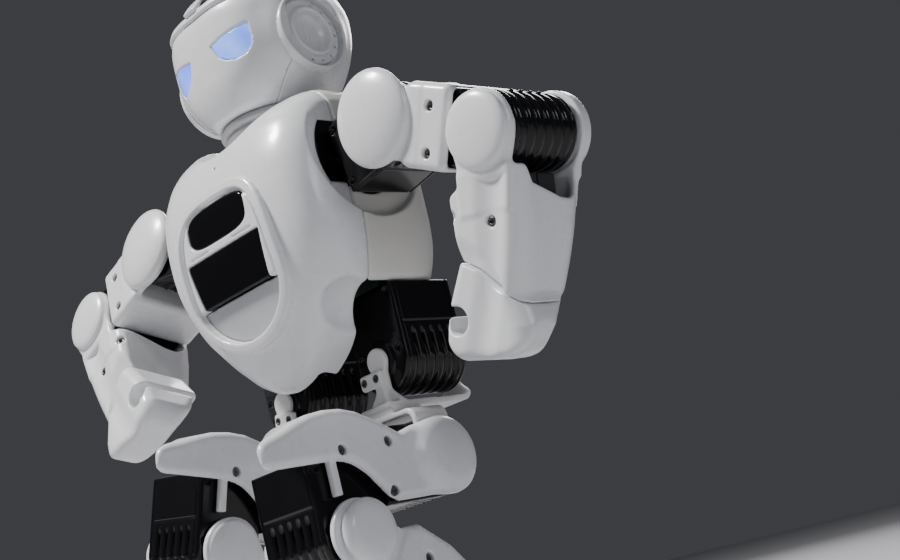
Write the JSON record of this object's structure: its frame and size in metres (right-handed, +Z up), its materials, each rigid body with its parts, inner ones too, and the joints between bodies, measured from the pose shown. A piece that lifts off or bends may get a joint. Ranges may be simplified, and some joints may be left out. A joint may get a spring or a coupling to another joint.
{
  "type": "humanoid robot kit",
  "caption": "Small humanoid robot kit in white shells with black servo joints, egg-shaped chest panel, helmet head with lit eyes, arms raised in a guard and knees bent.",
  "frame": {"origin": "middle of the footprint box at the floor, under the soles", "axes": "+Z up, robot faces -Y, robot's left side is +X"},
  "size_m": [0.2956, 0.1352, 0.3533],
  "materials": {
    "shell_white": "glossy, faintly cool white",
    "shell_cream": "satin, slightly creamier white",
    "servo_black": "gloss black moulded case",
    "window_black": "piano black smoked window",
    "collar_grey": "matt mid grey",
    "eye_blue": "clear lens over a blue light",
    "frame_metal": "satin",
    "board_green": "solder mask green",
    "battery_wrap": "blue shrink wrap",
    "sole_rubber": "matt black"
  },
  "bodies": {
    "torso": {"back_shell": "shell_cream", "battery": "battery_wrap", "chest_panel": "shell_white", "chest_shell": "shell_white", "control_board": "board_green", "ear_cup_left": "shell_white", "ear_cup_right": "shell_white", "eye_lens_left": "eye_blue", "eye_lens_right": "eye_blue", "face_shell": "shell_white", "head_crest": "shell_white", "head_shell": "shell_white", "hip_roll_servo_left": "servo_black", "hip_roll_servo_right": "servo_black", "lower_window": "window_black", "neck_collar": "collar_grey", "shoulder_pitch_servo_left": "servo_black", "shoulder_pitch_servo_right": "servo_black", "spine_frame": "frame_metal", "upper_window": "window_black"},
    "power_button": {"power_button": "collar_grey"},
    "shoulder_left": {"shoulder_roll_servo_left": "servo_black"},
    "upper_arm_left": {"elbow_servo_left": "servo_black", "upper_arm_shell_left": "shell_white"},
    "forearm_left": {"forearm_shell_left": "shell_white", "hand_left": "shell_white"},
    "hip_left": {"hip_yoke_left": "shell_white"},
    "thigh_left": {"hip_pitch_servo_left": "servo_black", "knee_servo_left": "servo_black", "thigh_shell_left": "shell_white"},
    "shin_left": {"ankle_pitch_servo_left": "servo_black", "shin_shell_left": "shell_white"},
    "ankle_left": {"ankle_yoke_left": "shell_white"},
    "foot_left": {"ankle_roll_servo_left": "servo_black", "foot_shell_left": "shell_white", "foot_sole_left": "sole_rubber"},
    "shoulder_right": {"shoulder_roll_servo_right": "servo_black"},
    "upper_arm_right": {"elbow_servo_right": "servo_black", "upper_arm_shell_right": "shell_white"},
    "forearm_right": {"forearm_shell_right": "shell_white", "hand_right": "shell_white"},
    "hip_right": {"hip_yoke_right": "shell_white"},
    "thigh_right": {"hip_pitch_servo_right": "servo_black", "knee_servo_right": "servo_black", "thigh_shell_right": "shell_white"},
    "shin_right": {"ankle_pitch_servo_right": "servo_black", "shin_shell_right": "shell_white"},
    "ankle_right": {"ankle_yoke_right": "shell_white"},
    "foot_right": {"ankle_roll_servo_right": "servo_black", "foot_shell_right": "shell_white", "foot_sole_right": "sole_rubber"}
  },
  "joints": [
    {"name": "shoulder_pitch_left", "type": "hinge", "parent": "torso", "child": "shoulder_left", "pos_m": [0.05337, 0.02395, 0.25126], "axis": [-1, 0, 0], "range_deg": [-60, 150]},
    {"name": "shoulder_roll_left", "type": "hinge", "parent": "shoulder_left", "child": "upper_arm_left", "pos_m": [0.08377, 0.02395, 0.25126], "axis": [0, -0.9994, -0.0349], "range_deg": [-22, 60]},
    {"name": "elbow_left", "type": "hinge", "parent": "upper_arm_left", "child": "forearm_left", "pos_m": [0.13136, 0.02484, 0.22576], "axis": [0, 0.9994, 0.0349], "range_deg": [-70, 22]},
    {"name": "hip_roll_left", "type": "hinge", "parent": "torso", "child": "hip_left", "pos_m": [0.03337, 0.04115, 0.16686], "axis": [0, -1, 0], "range_deg": [-10, 30]},
    {"name": "hip_pitch_left", "type": "hinge", "parent": "hip_left", "child": "thigh_left", "pos_m": [0.03337, 0.02315, 0.12236], "axis": [-1, 0, 0], "range_deg": [-80, 15]},
    {"name": "knee_left", "type": "hinge", "parent": "thigh_left", "child": "shin_left", "pos_m": [0.03337, -0.02585, 0.09886], "axis": [1, 0, 0], "range_deg": [-110, 16]},
    {"name": "ankle_pitch_left", "type": "hinge", "parent": "shin_left", "child": "ankle_left", "pos_m": [0.03337, 0.01749, 0.065], "axis": [-1, 0, 0], "range_deg": [-50, 20]},
    {"name": "ankle_roll_left", "type": "hinge", "parent": "ankle_left", "child": "foot_left", "pos_m": [0.03337, 0.01749, 0.02], "axis": [0, -1, 0], "range_deg": [-20, 15]},
    {"name": "shoulder_pitch_right", "type": "hinge", "parent": "torso", "child": "shoulder_right", "pos_m": [-0.05063, 0.02395, 0.25126], "axis": [-1, 0, 0], "range_deg": [-60, 130]},
    {"name": "shoulder_roll_right", "type": "hinge", "parent": "shoulder_right", "child": "upper_arm_right", "pos_m": [-0.08103, 0.02395, 0.25126], "axis": [0, 0.9573, -0.289], "range_deg": [-24, 50]},
    {"name": "elbow_right", "type": "hinge", "parent": "upper_arm_right", "child": "forearm_right", "pos_m": [-0.13137, 0.01831, 0.23257], "axis": [0, -0.9573, 0.289], "range_deg": [-92, 0]},
    {"name": "hip_roll_right", "type": "hinge", "parent": "torso", "child": "hip_right", "pos_m": [-0.03063, 0.04115, 0.16686], "axis": [0, -1, 0], "range_deg": [-26, 10]},
    {"name": "hip_pitch_right", "type": "hinge", "parent": "hip_right", "child": "thigh_right", "pos_m": [-0.03682, 0.02315, 0.12279], "axis": [-0.9903, 0, 0.1392], "range_deg": [-90, 2]},
    {"name": "knee_right", "type": "hinge", "parent": "thigh_right", "child": "shin_right", "pos_m": [-0.03854, -0.02977, 0.11058], "axis": [0.9903, 0, -0.1392], "range_deg": [-100, 24]},
    {"name": "ankle_pitch_right", "type": "hinge", "parent": "shin_right", "child": "ankle_right", "pos_m": [-0.045, -0.00035, 0.06456], "axis": [-0.9903, 0, 0.1392], "range_deg": [-40, 30]},
    {"name": "ankle_roll_right", "type": "hinge", "parent": "ankle_right", "child": "foot_right", "pos_m": [-0.05127, -0.00035, 0.02], "axis": [0, 1, 0], "range_deg": [-20, 15]},
    {"name": "power_button_press", "type": "slide", "parent": "torso", "child": "power_button", "axis": [0, -1, 0], "range_m": [0, 0.001], "stiffness_N_per_m": 400}
  ]
}
